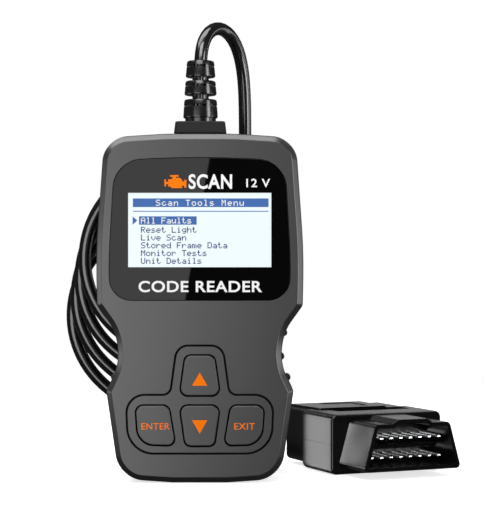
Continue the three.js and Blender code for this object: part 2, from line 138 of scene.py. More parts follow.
def grained(name, colour, roughness, grain, depth, spread=0.12, roughSpread=0.1, mirroring=0.5):
    # Moulded plastic or rubber: a spark-eroded grain, and slight patches in colour and gloss.
    finish = Finish(name, colour, roughness, Specular_IOR_Level=mirroring)
    patches = finish.noise(18, 2.0)
    lighter = tuple(c * (1 + spread) for c in colour)
    darker = tuple(c * (1 - spread) for c in colour)
    fine = finish.noise(grain, 4.0)
    rough = (patches * roughSpread + fine * roughSpread) + (roughness - roughSpread)
    return finish.feed(
        Base_Color=finish.blend(patches, darker, lighter),
        Roughness=rough,
        Normal=finish.relief(fine, depth),
    )


def metal(name, colour, roughness, stretch, metallic):
    finish = Finish(name, colour, roughness, Metallic=metallic)
    streaks = finish.noise(1.2, 4.0, stretch)
    darker = tuple(c * 0.8 for c in colour)
    return finish.feed(
        Base_Color=finish.blend(streaks, darker, colour),
        Roughness=streaks * 0.16 + (roughness - 0.08),
        Normal=finish.relief(streaks, 0.01),
    )


def lensFinish():
    # Gloss black print behind a clear hard lens, with faint smears.
    finish = Finish("lensGloss", (0.0014, 0.0014, 0.0015), 0.05, Specular_IOR_Level=0.21)
    smear = finish.noise(9, 2.0)
    return finish.feed(
        Base_Color=finish.blend(smear, (0.0012, 0.0012, 0.0013), (0.0018, 0.0018, 0.002)),
        Roughness=smear * 0.02 + 0.005,
    )


def screenFinish():
    # Back-lit liquid crystal: pale blue-white, with the cell grid just showing.
    finish = Finish("screenPaper", (0.5, 0.6, 0.62), 0.3, Specular_IOR_Level=0.2)
    x, _, z = finish.axes()
    rows = (z / menuSet["dot"]).math("FRACT") > 0.88
    columns = (x / menuSet["dot"]).math("FRACT") > 0.88
    grid = (rows + columns).clamped() * 0.3
    glow = finish.blend(grid, (0.87, 0.945, 0.96), (0.78, 0.89, 0.93))
    finish.shader.inputs["Emission Strength"].default_value = 0.9
    paper = finish.blend(grid, (0.1, 0.12, 0.125), (0.08, 0.1, 0.11))
    return finish.feed(Base_Color=paper, Emission_Color=glow)


jet, dark = (0.004, 0.004, 0.004), (0.012, 0.012, 0.012)
finishSet = {
    # colour, roughness, grain size and depth in millimetres, how far its colour and its roughness vary,
    # and how strongly it mirrors
    "caseGrey": ((0.018, 0.018, 0.0182), 0.33, 0.35, 0.003, 0.12, 0.05, 1.0),
    "keyGrey": ((0.018, 0.018, 0.0182), 0.34, 0.3, 0.003, 0.12, 0.05, 1.0),
    # painted shade: a black finish put on faces in gaps, grooves and recesses where shade falls
    "paintedShadeBlack": (jet, 0.7, 0.4, 0.01, 0.12, 0.1, 0.1),
    "backBlack": ((0.014, 0.014, 0.014), 0.5, 0.4, 0.02),
    "gripRubber": (dark, 0.55, 0.25, 0.015),
    "collarRubber": (dark, 0.6, 0.3, 0.008, 0.12, 0.1, 0.2),
    "bootRubber": (jet, 0.22, 0.6, 0.00002, 0.12, 0.01, 0.8),
    "cordSkin": (jet, 0.17, 1.5, 0.00002, 0.12, 0.01, 1.0),
    "plugBlack": (jet, 0.27, 0.5, 0.0003, 0.12, 0.015, 0.6),
    "shroudBlack": (jet, 0.25, 0.5, 0.0006, 0.12, 0.03, 0.5),
    "tieBlack": ((0.02, 0.02, 0.021), 0.8, 0.3, 0.12),
    "switchBlack": ((0.03, 0.03, 0.03), 0.5, 0.5, 0.01),
    "chipBlack": ((0.025, 0.025, 0.027), 0.55, 0.2, 0.01),
    "matGrey": ((0.06, 0.06, 0.06), 0.7, 0.4, 0.01),
    "boardGreen": ((0.01, 0.12, 0.045), 0.35, 2.5, 0.02, 0.35),
    "headerIvory": ((0.72, 0.68, 0.58), 0.45, 0.4, 0.01),
    "diffuser": ((0.8, 0.8, 0.76), 0.5, 0.4, 0.005, 0.04),
    "plateSilver": ((0.42, 0.42, 0.43), 0.4, 0.2, 0.003, 0.06),
    "legendOrange": ((1.0, 0.2, 0.0), 0.6, 0.2, 0.001, 0.03, 0.1, 0.1),
    "printWhite": ((0.9, 0.9, 0.9), 0.5, 0.2, 0.001, 0.03, 0.1, 0.2),
    "inkBlue": ((0.02, 0.06, 0.22), 0.5, 0.4, 0.001, 0.1, 0.1, 0.1),
    "barBlue": ((0.06, 0.15, 0.42), 0.5, 0.4, 0.001, 0.1, 0.1, 0.1),
}
metalSet = {
    # colour, roughness, how its streaks are stretched, and how metallic it is
    "pinSilver": ((0.9, 0.9, 0.91), 0.27, (1, 1, 6), 0.95),
    "screwSteel": ((0.35, 0.35, 0.36), 0.35, (1, 1, 1), 1.0),
    "canSteel": ((0.72, 0.72, 0.72), 0.3, (1, 6, 1), 1.0),
}
finishes = {name: grained(name, *values) for name, values in finishSet.items()}
finishes.update({name: metal(name, *values) for name, values in metalSet.items()})
finishes.update({"lensGloss": lensFinish(), "screenPaper": screenFinish()})
print("finishes made:", len(finishes))


def added(name, data):
    # A new object in the scene.
    made = bpy.data.objects.new(name, data)
    bpy.context.collection.objects.link(made)
    return made


def mirrored(corners):
    # The left half added to the right half of a symmetric outline.
    return [*corners, *((-x, z, r) for x, z, r in reversed(corners) if x != 0)]


def grown(corners, amount):
    # The rounded polygon with every side moved out by amount.
    spots = [Vector((x, z)) for x, z, _ in corners]
    count = len(spots)
    area = sum(a.x * b.y - b.x * a.y for a, b in zip(spots, spots[1:] + spots[:1]))
    turn = 1 if area > 0 else -1
    moved = []
    for i, (spot, (_, _, radius)) in enumerate(zip(spots, corners)):
        before = (spot - spots[i - 1]).normalized()
        after = (spots[(i + 1) % count] - spot).normalized()
        outA = Vector((before.y, -before.x)) * turn
        outB = Vector((after.y, -after.x)) * turn
        shifted = spot + (outA + outB) * (amount / (1 + outA.dot(outB)))
        bulging = (before.x * after.y - before.y * after.x) * turn > 0
        rounder = max(0, radius + (amount if bulging else -amount)) if radius else 0
        moved.append((shifted.x, shifted.y, rounder))
    return moved


def softened(bm, places, width, segments=2, affect="EDGES"):
    bmesh.ops.bevel(
        bm, geom=places, offset=width, offset_type="OFFSET", segments=segments, profile=0.5,
        affect=affect, clamp_overlap=affect == "EDGES", material=-1,
    )
    return bm


def outlineMesh(corners, y):
    # One face in the plane at y, with each corner rounded to its own radius.
    bm = bmesh.new()
    spots = [bm.verts.new((x, y, z)) for x, z, _ in corners]
    bm.faces.new(spots)
    places = [v.co.copy() for v in spots]
    for i, (spot, (_, _, radius)) in enumerate(zip(spots, corners)):
        if radius <= 0:
            continue
        before = (places[i - 1] - places[i]).normalized()
        after = (places[(i + 1) % len(places)] - places[i]).normalized()
        inside = before.angle(after)
        reach = radius / math.tan(inside / 2)
        steps = max(3, round((math.pi - inside) / 0.1))
        softened(bm, [spot], reach, steps, "VERTICES")
    return bm


def rimEdges(bm, y):
    return [e for e in bm.edges if all(abs(v.co.y - y) < 0.01 for v in e.verts)]


def lengthwise(bm, axis, least=0.1):
    # The edges that run along an axis.
    return [e for e in bm.edges if abs(e.verts[0].co[axis] - e.verts[1].co[axis]) > least]


def thickened(bm, move):
    # Draws a flat face out into a closed solid.
    out = bmesh.ops.extrude_face_region(bm, geom=bm.faces[:])
    moved = [v for v in out["geom"] if isinstance(v, bmesh.types.BMVert)]
    bmesh.ops.translate(bm, verts=moved, vec=move)
    openRims = [e for e in bm.edges if e.is_boundary]
    if openRims:
        bmesh.ops.holes_fill(bm, edges=openRims, sides=0)
    bmesh.ops.recalc_face_normals(bm, faces=bm.faces[:])
    return bm


def prism(corners, front, back, frontEdge=0, backEdge=0, segments=2):
    # An outline drawn back along y, with its two rims softened.
    bm = thickened(outlineMesh(corners, front), (0, back - front, 0))
    if frontEdge:
        softened(bm, rimEdges(bm, front), frontEdge, segments)
    if backEdge:
        softened(bm, rimEdges(bm, back), backEdge, segments)
    return bm


def boxCorners(x, z, width, height, radius=0.0):
    w, h = width / 2, height / 2
    return [(x - w, z + h, radius), (x + w, z + h, radius), (x + w, z - h, radius), (x - w, z - h, radius)]


def slab(x, z, width, height, front, back, radius=0.0, **edges):
    return prism(boxCorners(x, z, width, height, radius), front, back, **edges)


def rod(x, z, radius, front, back, sides=28):
    bm = bmesh.new()
    turn = Matrix.Rotation(math.pi / 2, 4, "X")
    spot = Matrix.Translation((x, (front + back) / 2, z))
    bmesh.ops.create_cone(
        bm, cap_ends=True, segments=sides, radius1=radius, radius2=radius, depth=back - front,
        matrix=spot @ turn,
    )
    return bm


def brick(centre, size):
    bm = bmesh.new()
    bmesh.ops.create_cube(bm, size=1, matrix=Matrix.Translation(centre) @ Matrix.Diagonal((*size, 1)))
    return bm


def meshFrom(bm, name):
    mesh = bpy.data.meshes.new(name)
    bm.to_mesh(mesh)
    bm.free()
    return mesh


def combined(bm, tools, operation="DIFFERENCE"):
    # Cuts the tools out of a shape, or joins them to it.
    base = added("shaping", meshFrom(bm, "shaping"))
    helpers = []
    for tool in tools:
        helper = added("tool", meshFrom(tool, "tool"))
        step = base.modifiers.new("cut", "BOOLEAN")
        step.operation = operation
        step.solver = "EXACT"
        step.object = helper
        helpers.append(helper)
    graph = bpy.context.evaluated_depsgraph_get()
    shaped = bmesh.new()
    shaped.from_mesh(base.evaluated_get(graph).to_mesh())
    for helper in [base, *helpers]:
        mesh = helper.data
        bpy.data.objects.remove(helper)
        bpy.data.meshes.remove(mesh)
    bmesh.ops.remove_doubles(shaped, verts=shaped.verts[:], dist=1e-4)
    bmesh.ops.dissolve_degenerate(shaped, dist=1e-4, edges=shaped.edges[:])
    return shaped


def merged(shapes):
    # Separate shells in one mesh, such as a row of pins.
    whole = bmesh.new()
    for shape in shapes:
        mesh = meshFrom(shape, "part")
        whole.from_mesh(mesh)
        bpy.data.meshes.remove(mesh)
    return whole


def piece(
    bm, name, finish, body="case", replaces=(), edge=0.0, place=None, sharp=32, inner=None, broad=None,
):
    # Turns a shape in millimetres into a finished piece that rides on its body. inner is a face test, and the faces
    # it picks are painted black as shade in gaps and recesses; faces of more than broad square millimetres stay flat
    # up to their rounded edges.
    if place is not None:
        bmesh.ops.transform(bm, matrix=place, verts=bm.verts[:])
    bm.normal_update()
    for face in bm.faces:
        face.smooth = True
    for crease in bm.edges:
        widest = max((face.calc_area() for face in crease.link_faces), default=0)
        limit = 0.5 if broad is not None and widest > broad else sharp
        crease.smooth = crease.calc_face_angle(0) < math.radians(limit)
    bmesh.ops.scale(bm, vec=(mm, mm, mm), verts=bm.verts[:])
    mesh = meshFrom(bm, name)
    made = added(name, mesh)
    mesh.materials.append(finishes[finish].material)
    # the faces that the face test picks take the black finish, painted shade in the gaps and recesses
    if inner:
        mesh.materials.append(finishes["paintedShadeBlack"].material)
        for face in mesh.polygons:
            face.material_index = 1 if inner(face.center / mm, face.normal) else 0
    if edge:
        soft = made.modifiers.new("soft edges", "BEVEL")
        soft.width = edge * mm
        soft.segments = 2
        soft.limit_method = "ANGLE"
        soft.angle_limit = math.radians(50)
        soft.use_clamp_overlap = True
    flat = made.modifiers.new("flat faces", "WEIGHTED_NORMAL")
    flat.keep_sharp = True
    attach(made, body)
    if replaces:
        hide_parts(*replaces)
    return made


cameraSet = {"distance": 600, "aimX": 15.1, "aimZ": 80.5, "coverHeight": 184.3, "sensor": 36}
camera = bpy.data.cameras.new("camera")
camera.sensor_width = cameraSet["sensor"]
camera.lens = cameraSet["sensor"] * cameraSet["distance"] / cameraSet["coverHeight"]
camera.clip_start = 0.01
eye = added("camera", camera)
eye.location = (cameraSet["aimX"] * mm, (-12 - cameraSet["distance"]) * mm, cameraSet["aimZ"] * mm)
eye.rotation_euler = (math.pi / 2, 0, 0)
bpy.context.scene.camera = eye
print("camera set")


cordSet = {
    "diameter": 4.8, "length": 1.33, "exit": (0, 0, 152.2), "spacing": 2.6, "turns": 4,
    "rearY": 36.1, "pitchY": -4.9, "groundZ": 2.6,
    # the three bends of the rear turn: x, z, radius, and how far each moves per turn
    "left": (-17.6, 55.1, 33.6, 2.0, 7.23),
    "top": (-3.0, 61.7, 27.0, 0.0, 7.23),
    "low": (5.0, 18.3, 19.0, 0.0, 11.0),
    "lead": [
        (0, 0, 150.5), (0, 0, 153), (0.1, 0.3, 156.6), (1.9, 3.2, 162.6), (7, 11.5, 166.3), (12.6, 20.8, 162.0),
        (15.4, 26, 152), (16.2, 28.4, 139), (16.3, 30.2, 124), (16.9, 32.6, 108), (18.8, 35.4, 92),
        (21.6, 36.8, 77), (24, 36.2, 61.7),
    ],
    "tail": [
        (24, 16.5, 90.6), (24, 16.5, 72), (24, 16.5, 54), (24, 16.5, 37.4), (24, 16.6, 29), (24.2, 17.8, 20),
        (24.6, 21.6, 11.4), (25, 28.6, 5), (24.4, 38, 2.8), (21, 48.6, 2.6), (15.6, 59, 2.6), (11, 70, 2.6),
        (8.8, 81, 2.6), (10.6, 91.6, 2.6), (17.4, 99.4, 2.8), (26.6, 101, 4), (34.6, 96.6, 6.4),
        (39.6, 89.6, 9.2), (42.8, 82.8, 10.8), (45.6, 74.6, 11.2),
    ],
}


def smoothRoute(points, steps=10):
    # A curve through the points, as a close row of them.
    spots = [Vector(p) for p in points]
    spots = [spots[0] * 2 - spots[1], *spots, spots[-1] * 2 - spots[-2]]
    route = []
    for a, b, c, d in zip(spots, spots[1:], spots[2:], spots[3:]):
        for i in range(steps):
            t = i / steps
            bend = (2 * a - 5 * b + 4 * c - d) * t * t + (3 * b - a - 3 * c + d) * t ** 3
            route.append(0.5 * (2 * b + (c - a) * t + bend))
    return [*route, spots[-2]]


def turnSpot(turn, angle):
    # Where the outline drawn tight round a turn's three bends faces one way.
    facing = Vector((math.cos(angle), math.sin(angle)))
    best = None
    for x, z, radius, stepX, stepZ in (cordSet["left"], cordSet["top"], cordSet["low"]):
        height = max(z + stepZ * turn, radius + cordSet["groundZ"])
        bend = Vector((x + stepX * turn, height)) + facing * radius
        if best is None or bend.dot(facing) > best.dot(facing) + 1e-6:
            best = bend
    return best


def distances(points):
    # How far along a path each of its points lies.
    return [0.0, *accumulate((b - a).length for a, b in zip(points, points[1:]))]


def coilRoute(samples=72):
    route = []
    for number in range(cordSet["turns"]):
        flat = [turnSpot(number + i / samples, -2 * math.pi * i / samples) for i in range(samples + 1)]
        run = distances(flat)
        for spot, along in zip(flat[:-1], run):
            y = cordSet["rearY"] + cordSet["pitchY"] * (number + along / run[-1])
            route.append(Vector((spot.x, y, spot.y)))
    return route


def evenly(points, spacing):
    # The same path with its points a fixed distance apart, and its joins eased.
    runs = distances(points)
    count = max(2, round(runs[-1] / spacing))
    even, k = [], 0
    for i in range(count + 1):
        along = runs[-1] * i / count
        while k < len(runs) - 2 and runs[k + 1] < along:
            k += 1
        share = (along - runs[k]) / max(1e-9, runs[k + 1] - runs[k])
        even.append(points[k].lerp(points[k + 1], min(1, share)))
    for _ in range(6):
        eased = [a * 0.25 + b * 0.5 + c * 0.25 for a, b, c in zip(even, even[1:], even[2:])]
        even = [even[0], *eased, even[-1]]
    return even


def makeCord():
    whole = [*smoothRoute(cordSet["lead"])[:-1], *coilRoute(), *smoothRoute(cordSet["tail"])]
    route = evenly(whole, cordSet["spacing"])
    length = distances(route)[-1] * mm
    curve = bpy.data.curves.new("cord", "CURVE")
    curve.dimensions = "3D"
    curve.bevel_depth = cordSet["diameter"] / 2 * mm
    curve.bevel_resolution = 8
    curve.use_fill_caps = True
    line = curve.splines.new("POLY")
    line.points.add(len(route) - 1)
    for point, spot in zip(line.points, route):
        point.co = (*(spot * mm), 1)
    line.use_smooth = True
    made = added("cord", curve)
    curve.materials.append(finishes["cordSkin"].material)
    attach(made, "case")
    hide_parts("cord_lead", "cord_coil", "cord_tail")
    print("cord made:", round(length, 4), "m in", len(route), "points")
    return made


cord = makeCord()

# the tie round the coil, and its end laid back over itself: gap, thickness, y and length
tieSet = {
    "low": 53.5, "high": 61.0, "x": 24, "rearY": 36.1, "frontY": 16.5, "clearance": 0.25, "thickness": 1.2,
    "flap": (0.35, 0.9, 27.5, 12), "flapMargin": 0.4, "flapRound": 0.8,
}


def bundleFace(radius, z):
    # A stadium round the row of strands, in the plane at z.
    bm = bmesh.new()
    x, rear, front = tieSet["x"], tieSet["rearY"] + radius, tieSet["frontY"] - radius
    spots = [(x + radius, rear), (x - radius, rear), (x - radius, front), (x + radius, front)]
    verts = [bm.verts.new((px, py, z)) for px, py in spots]
    bm.faces.new(verts)
    return softened(bm, verts, radius * 0.98, 10, "VERTICES")


def makeTie():
    low, high = tieSet["low"], tieSet["high"]
    inner = cordSet["diameter"] / 2 + tieSet["clearance"]
    tools = []
    for radius, start, end in ((inner + tieSet["thickness"], low, high), (inner, low - 1, high + 1)):
        tools.append(thickened(bundleFace(radius, start), (0, 0, end - start)))
    band = combined(tools[0], [tools[1]])
    out, thick, y, long = tieSet["flap"]
    right = tieSet["x"] + inner + tieSet["thickness"]
    height = high - low - 2 * tieSet["flapMargin"]
    flap = brick((right + out, y, (low + high) / 2), (thick, long, height))
    softened(flap, lengthwise(flap, 0), tieSet["flapRound"], 3)
    band = combined(band, [flap], "UNION")
    return piece(band, "cordTie", "tieBlack", replaces=["cord_tie"], edge=0.2)


tie = makeTie()


caseSet = {
    "front": -12, "back": 12, "gap": 0.15, "wall": 2, "frontWall": 2.4, "chamfer": 2.0, "backEdge": 2.0,
    "rimRound": 0.35, "shoulderRound": 0.5, "outside": 14,
    # right half from the top middle down: x, z, corner radius
    "corners": [
        (12, 125.1, 60), (34.4, 123.7, 9.5), (37.3, 82, 180), (36.9, 63.4, 2.6), (26.2, 48.5, 18.8),
        (33.6, 32.8, 2.2), (29, 1.3, 10.5), (10, 0, 0),
    ],
    "lens": [(0, 117.1, 300), (30.5, 115.2, 10.5), (32.5, 80, 150), (32.2, 65.3, 8)],
    "lensGap": 0.12, "lensFront": -11.9, "lensBack": -10.9, "lensFloor": -10.7,
    "groove": [(8.2, 49.2, 4.6), (10.6, 31.6, 3), (26.4, 31.6, 6.5), (25.6, 10.6, 9.5)],
    "grooveWidth": 0.75, "grooveFloor": -10.9,
    "screws": [(-28, 114.5), (28, 114.5), (-24.6, 8.6), (24.6, 8.6)],
    "frontPost": 2.8, "rearPost": 3.8, "screwHole": 1.5, "headHole": 2.8, "headFloor": 7.3,
    # openings: x, z, width, height, and for the neck a centre and a size
    "display": (0, 91.1, 54, 29.2), "plate": (0, 86, 40, 26), "plateFloor": 11.5,
    "neck": ((0, 0, 124), (12.6, 9.6, 12)),
}
keySet = {
    "front": -12.25, "back": -8.4, "flangeFront": -9.3, "flange": 1.0, "gap": 0.55, "edge": 0.3,
    "outlines": {
        "up": mirrored([(5.1, 45.6, 2.2), (7.1, 31.4, 2.6)]),
        "down": mirrored([(7.1, 27.7, 2.6), (5.1, 13.4, 2.2)]),
        "enter": [(-22.9, 27.7, 2.6), (-11.2, 27.7, 2.4), (-8.8, 13.6, 2.3), (-21.9, 13.9, 6)],
        "exit": [(22.9, 27.7, 2.6), (11.2, 27.7, 2.4), (8.8, 13.6, 2.3), (21.9, 13.9, 6)],
    },
}
screenSet = {"x": 0, "z": 90.5, "width": 51.2, "height": 26.6, "front": -11.6, "back": -11.0}
caseOutline = mirrored(caseSet["corners"])
lensOutline = mirrored(caseSet["lens"])
grooveOutline = mirrored(caseSet["groove"])


def makeFrontShell():
    front, end = caseSet["front"], -caseSet["gap"]
    shell = prism(caseOutline, front, end)
    softened(shell, rimEdges(shell, front), caseSet["chamfer"], 1)
    softened(shell, rimEdges(shell, front), caseSet["rimRound"], 2)
    softened(shell, rimEdges(shell, front + caseSet["chamfer"]), caseSet["shoulderRound"], 3)
    interior = prism(grown(caseOutline, -caseSet["wall"]), front + caseSet["frontWall"], 2)
    shell = combined(shell, [interior])
    posts = [rod(x, z, caseSet["frontPost"], front + 1, -1) for x, z in caseSet["screws"]]
    shell = combined(shell, posts, "UNION")
    half, start, inside = caseSet["grooveWidth"] / 2, -caseSet["outside"], -5
    channel = combined(
        prism(grown(grooveOutline, half), start, caseSet["grooveFloor"]),
        [prism(grown(grooveOutline, -half), start - 1, caseSet["grooveFloor"] + 1)],
    )
    tools = [channel, prism(grown(lensOutline, caseSet["lensGap"]), start, caseSet["lensFloor"])]
    tools += [prism(grown(o, keySet["gap"]), start, inside) for o in keySet["outlines"].values()]
    tools += [slab(*caseSet["display"], start, inside), brick(*caseSet["neck"])]
    tools += [rod(x, z, caseSet["screwHole"], -9, 4, 20) for x, z in caseSet["screws"]]
    shell = combined(shell, tools)

    def inPaintedShade(spot, normal):
        # the walls and floors of the groove and the key holes, and the floor under the lens, are painted black as
        # shade
        among = abs(spot.x) < 27.5 and 9 < spot.z < 50
        underLens = abs(normal.y) > 0.95 and spot.z > 64
        return front + 0.2 < spot.y < -9.5 and (among or underLens)

    return piece(
        shell, "frontShell", "caseGrey", replaces=["front_shell"], edge=0.12, inner=inPaintedShade,
    )


def makeRearShell():
    back, start = caseSet["back"], caseSet["gap"]
    shell = prism(caseOutline, start, back, backEdge=caseSet["backEdge"], segments=5)
    shell = combined(shell, [prism(grown(caseOutline, -caseSet["wall"]), -2, back - caseSet["wall"])])
    posts = [rod(x, z, caseSet["rearPost"], 1, back - 1) for x, z in caseSet["screws"]]
    shell = combined(shell, posts, "UNION")
    end = caseSet["outside"]
    tools = [rod(x, z, caseSet["screwHole"], -1, end, 20) for x, z in caseSet["screws"]]
    tools += [rod(x, z, caseSet["headHole"], caseSet["headFloor"], end) for x, z in caseSet["screws"]]
    tools += [slab(*caseSet["plate"], caseSet["plateFloor"], end, 2), brick(*caseSet["neck"])]
    tools += [gripBand(side, -1.0, 3.0, 0.0) for side in (-1, 1)]
    shell = combined(shell, tools)
    return piece(shell, "rearShell", "backBlack", replaces=["rear_shell"], edge=0.2)


gripSet = {
    "low": 35.5, "high": 61.0, "front": 2.2, "back": 9.2, "inner": -0.72, "outer": -0.05,
    "ribs": [53.2, 44.5, 36.8], "ribRadius": 1.3, "ribInset": 0.8,
}


def halfWidthAt(z):
    # Half of the case's width at a height, from its rounded outline.
    bm = outlineMesh(caseOutline, 0)
    crossings = []
    for e in bm.edges:
        a, b = (v.co for v in e.verts)
        if (a.z - z) * (b.z - z) <= 0 and abs(a.z - b.z) > 1e-6:
            crossings.append(a.x + (b.x - a.x) * (z - a.z) / (b.z - a.z))
    bm.free()
    return max(crossings)


def gripBand(side, inner, outer, margin):
    # The skin of the case side between two distances from its outline, at the waist.
    zone = brick(
        (side * 32, (gripSet["front"] + gripSet["back"]) / 2, (gripSet["low"] + gripSet["high"]) / 2),
        (24, gripSet["back"] - gripSet["front"] - 2 * margin, gripSet["high"] - gripSet["low"] - 2 * margin),
    )
    skin = combined(prism(grown(caseOutline, outer), 1, 11), [prism(grown(caseOutline, inner), 0, 12)])
    return combined(skin, [zone], "INTERSECT")


def makeGrip(side, name, node):
    strip = gripBand(side, gripSet["inner"], gripSet["outer"], 0.2)
    ribs = []
    start, end = gripSet["front"] + gripSet["ribInset"], gripSet["back"] - gripSet["ribInset"]
    for z in gripSet["ribs"]:
        rib = rod(side * (halfWidthAt(z) - 0.1), z, gripSet["ribRadius"], start, end, 24)
        ribs.append(softened(rib, rimEdges(rib, start) + rimEdges(rib, end), 0.5, 3))
    grip = combined(strip, ribs, "UNION")
    grip = combined(grip, [prism(grown(caseOutline, gripSet["inner"]), 0, 12)])
    return piece(grip, name, "gripRubber", replaces=[node], edge=0.12)


makeFrontShell()
makeRearShell()
makeGrip(-1, "gripLeft", "side_grip_left")
makeGrip(1, "gripRight", "side_grip_right")
print("case made")


def makeKey(name, outline):
    cap = prism(outline, keySet["front"], keySet["back"], frontEdge=keySet["edge"], segments=4)
    flange = prism(grown(outline, keySet["flange"]), keySet["flangeFront"], keySet["back"])
    cap = combined(cap, [flange], "UNION")
    # the key's sides and flange, behind its face, are painted black as shade in the gap round the key
    return piece(
        cap, f"{name}Key", "keyGrey", body=f"{name}_button", replaces=[f"key_{name}"],
        inner=lambda spot, normal: spot.y > keySet["front"] + 0.6,
    )


for keyName, keyOutline in keySet["outlines"].items():
    makeKey(keyName, keyOutline)


printSet = {
    "thickness": 0.05,
    "words": [
        # text, x, z, letter height, finish, body, stretch, boldness
        ("ENTER", -15.9, 20.4, 2.3, "legendOrange", "enter_button", 0.98, 0.008),
        ("EXIT", 15.9, 20.4, 2.3, "legendOrange", "exit_button", 1.05, 0.008),
        ("CODE READER", 0, 70.3, 3.8, "printWhite", "case", 1.13, 0.03),
        ("SCAN", 3.9, 107.8, 4.9, "printWhite", "case", 0.82, 0.035),
        ("12 V", 20.4, 107.3, 2.9, "printWhite", "case", 1.1, 0.02),
    ],
    "triangles": {
        "up": [(0, 39.6, 0), (2.75, 34.9, 0), (-2.75, 34.9, 0)],
        "down": [(0, 17.8, 0), (-2.75, 22.6, 0), (2.75, 22.6, 0)],
    },
    "rise": 0.03, "sink": 0.02,
}


def printed(corners, surface):
    # A thin plate of ink that stands a little proud of the surface it is on.
    return prism(corners, surface - printSet["rise"], surface + printSet["sink"])


def makeWord(text, x, z, height, finish, body, stretch, bold, front):
    letters = bpy.data.curves.new("letters", "FONT")
    letters.body = text
    letters.align_x = "CENTER"
    letters.size = height * mm / 0.69
    letters.offset = bold * height * mm
    letters.extrude = printSet["thickness"] / 2 * mm
    letters.space_character = 1.08
    writer = added("letters", letters)
    mesh = bpy.data.meshes.new_from_object(writer.evaluated_get(bpy.context.evaluated_depsgraph_get()))
    bpy.data.objects.remove(writer)
    bm = bmesh.new()
    bm.from_mesh(mesh)
    bpy.data.meshes.remove(mesh)
    bmesh.ops.remove_doubles(bm, verts=bm.verts[:], dist=1e-7)
    bmesh.ops.scale(bm, vec=(1 / mm,) * 3, verts=bm.verts[:])
    low = min(v.co.y for v in bm.verts)
    high = max(v.co.y for v in bm.verts)
    upright = (
        Matrix.Translation((x, front, z - (low + high) / 2))
        @ Matrix.Rotation(math.pi / 2, 4, "X")
        @ Matrix.Diagonal((stretch, 1, 1, 1))
    )
    label = "word" + "".join(c for c in text if c.isalnum())
    return piece(bm, label, finish, body=body, place=upright)


for text, x, z, height, finish, body, stretch, bold in printSet["words"]:
    surface = keySet["front"] if body != "case" else caseSet["lensFront"]
    makeWord(text, x, z, height, finish, body, stretch, bold, surface)

for keyName, corners in printSet["triangles"].items():
    piece(printed(corners, keySet["front"]), f"{keyName}Triangle", "legendOrange", body=f"{keyName}_button")


def makeEngineSymbol(x, z, scale):
    # The plain outline of an engine, as on a dashboard's warning light.
    outline = [
        (-3.2, -1.6), (-3.2, -0.5), (-4.2, -0.5), (-4.2, -1.5), (-4.9, -1.5), (-4.9, 1.5), (-4.2, 1.5),
        (-4.2, 0.5), (-3.2, 0.5), (-3.2, 1.6), (-1.9, 1.6), (-1.2, 2.3), (-1.2, 2.8), (-2.4, 2.8),
        (-2.4, 3.5), (1.4, 3.5), (1.4, 2.8), (0.2, 2.8), (0.2, 2.3), (2.0, 2.3), (3.0, 1.3), (3.0, 0.6),
        (4.0, 0.6), (4.0, 1.4), (4.9, 1.4), (4.9, -2.1), (4.0, -2.1), (4.0, -1.2), (3.0, -1.2),
        (3.0, -2.3), (-1.6, -2.3), (-2.3, -1.6),
    ]
    middle = 0.6
    corners = [(x + px * scale, z + (pz - middle) * scale, 0) for px, pz in outline]
    piece(printed(corners, caseSet["lensFront"]), "engineSymbol", "legendOrange")


makeEngineSymbol(-8.7, 107.8, 0.8)
print("keys and print made")


def makeLens():
    lens = prism(lensOutline, caseSet["lensFront"], caseSet["lensBack"], frontEdge=0.2, segments=3)
    window = slab(screenSet["x"], screenSet["z"], screenSet["width"], screenSet["height"], -14, -8)
    return piece(combined(lens, [window]), "displayLens", "lensGloss", replaces=["display_lens"])


glyphs = {
    # five dots across and seven down, with an eighth row for tails
    " ": "", "A": "01110 10001 10001 11111 10001 10001 10001", "C": "01110 10001 10000 10000 10000 10001 01110",
    "D": "11110 10001 10001 10001 10001 10001 11110", "F": "11111 10000 10000 11110 10000 10000 10000",
    "L": "10000 10000 10000 10000 10000 10000 11111", "M": "10001 11011 10101 10101 10001 10001 10001",
    "R": "11110 10001 10001 11110 10100 10010 10001", "S": "01111 10000 10000 01110 00001 00001 11110",
    "T": "11111 00100 00100 00100 00100 00100 00100", "U": "10001 10001 10001 10001 10001 10001 01110",
    "a": "00000 00000 01110 00001 01111 10001 01111", "c": "00000 00000 01110 10000 10000 10001 01110",
    "d": "00001 00001 01101 10011 10001 10001 01111", "e": "00000 00000 01110 10001 11111 10000 01110",
    "g": "00000 00000 01111 10001 10001 01111 00001 01110", "h": "10000 10000 10110 11001 10001 10001 10001",
    "i": "00100 00000 01100 00100 00100 00100 01110", "l": "01100 00100 00100 00100 00100 00100 01110",
    "m": "00000 00000 11010 10101 10101 10101 10101", "n": "00000 00000 10110 11001 10001 10001 10001",
    "o": "00000 00000 01110 10001 10001 10001 01110", "r": "00000 00000 10110 11001 10000 10000 10000",
    "s": "00000 00000 01110 10000 01110 00001 11110", "t": "01000 01000 11100 01000 01000 01001 00110",
    "u": "00000 00000 10001 10001 10001 10011 01101", "v": "00000 00000 10001 10001 10001 01010 00100",
    "w": "00000 00000 10001 10001 10101 10101 01010",
}


def dotText(text, left, middle, front, pitch=6):
    # Small squares for the lit dots of a row of letters.
    dots = []
    for place, letter in enumerate(text):
        for row, line in enumerate(glyphs[letter].split()):
            for column, lit in enumerate(line):
                if lit == "1":
                    x = left + (place * pitch + column + 0.5) * menuSet["dot"]
                    z = middle + (3 - row) * menuSet["dot"]
                    dots.append((x, front - menuSet["ink"] / 2, z))
    return dots


def dotPlate(dots):
    bm = bmesh.new()
    size = Matrix.Diagonal((menuSet["dotSize"], menuSet["ink"], menuSet["dotSize"], 1))
    for centre in dots:
        bmesh.ops.create_cube(bm, size=1, matrix=Matrix.Translation(centre) @ size)
    return bm


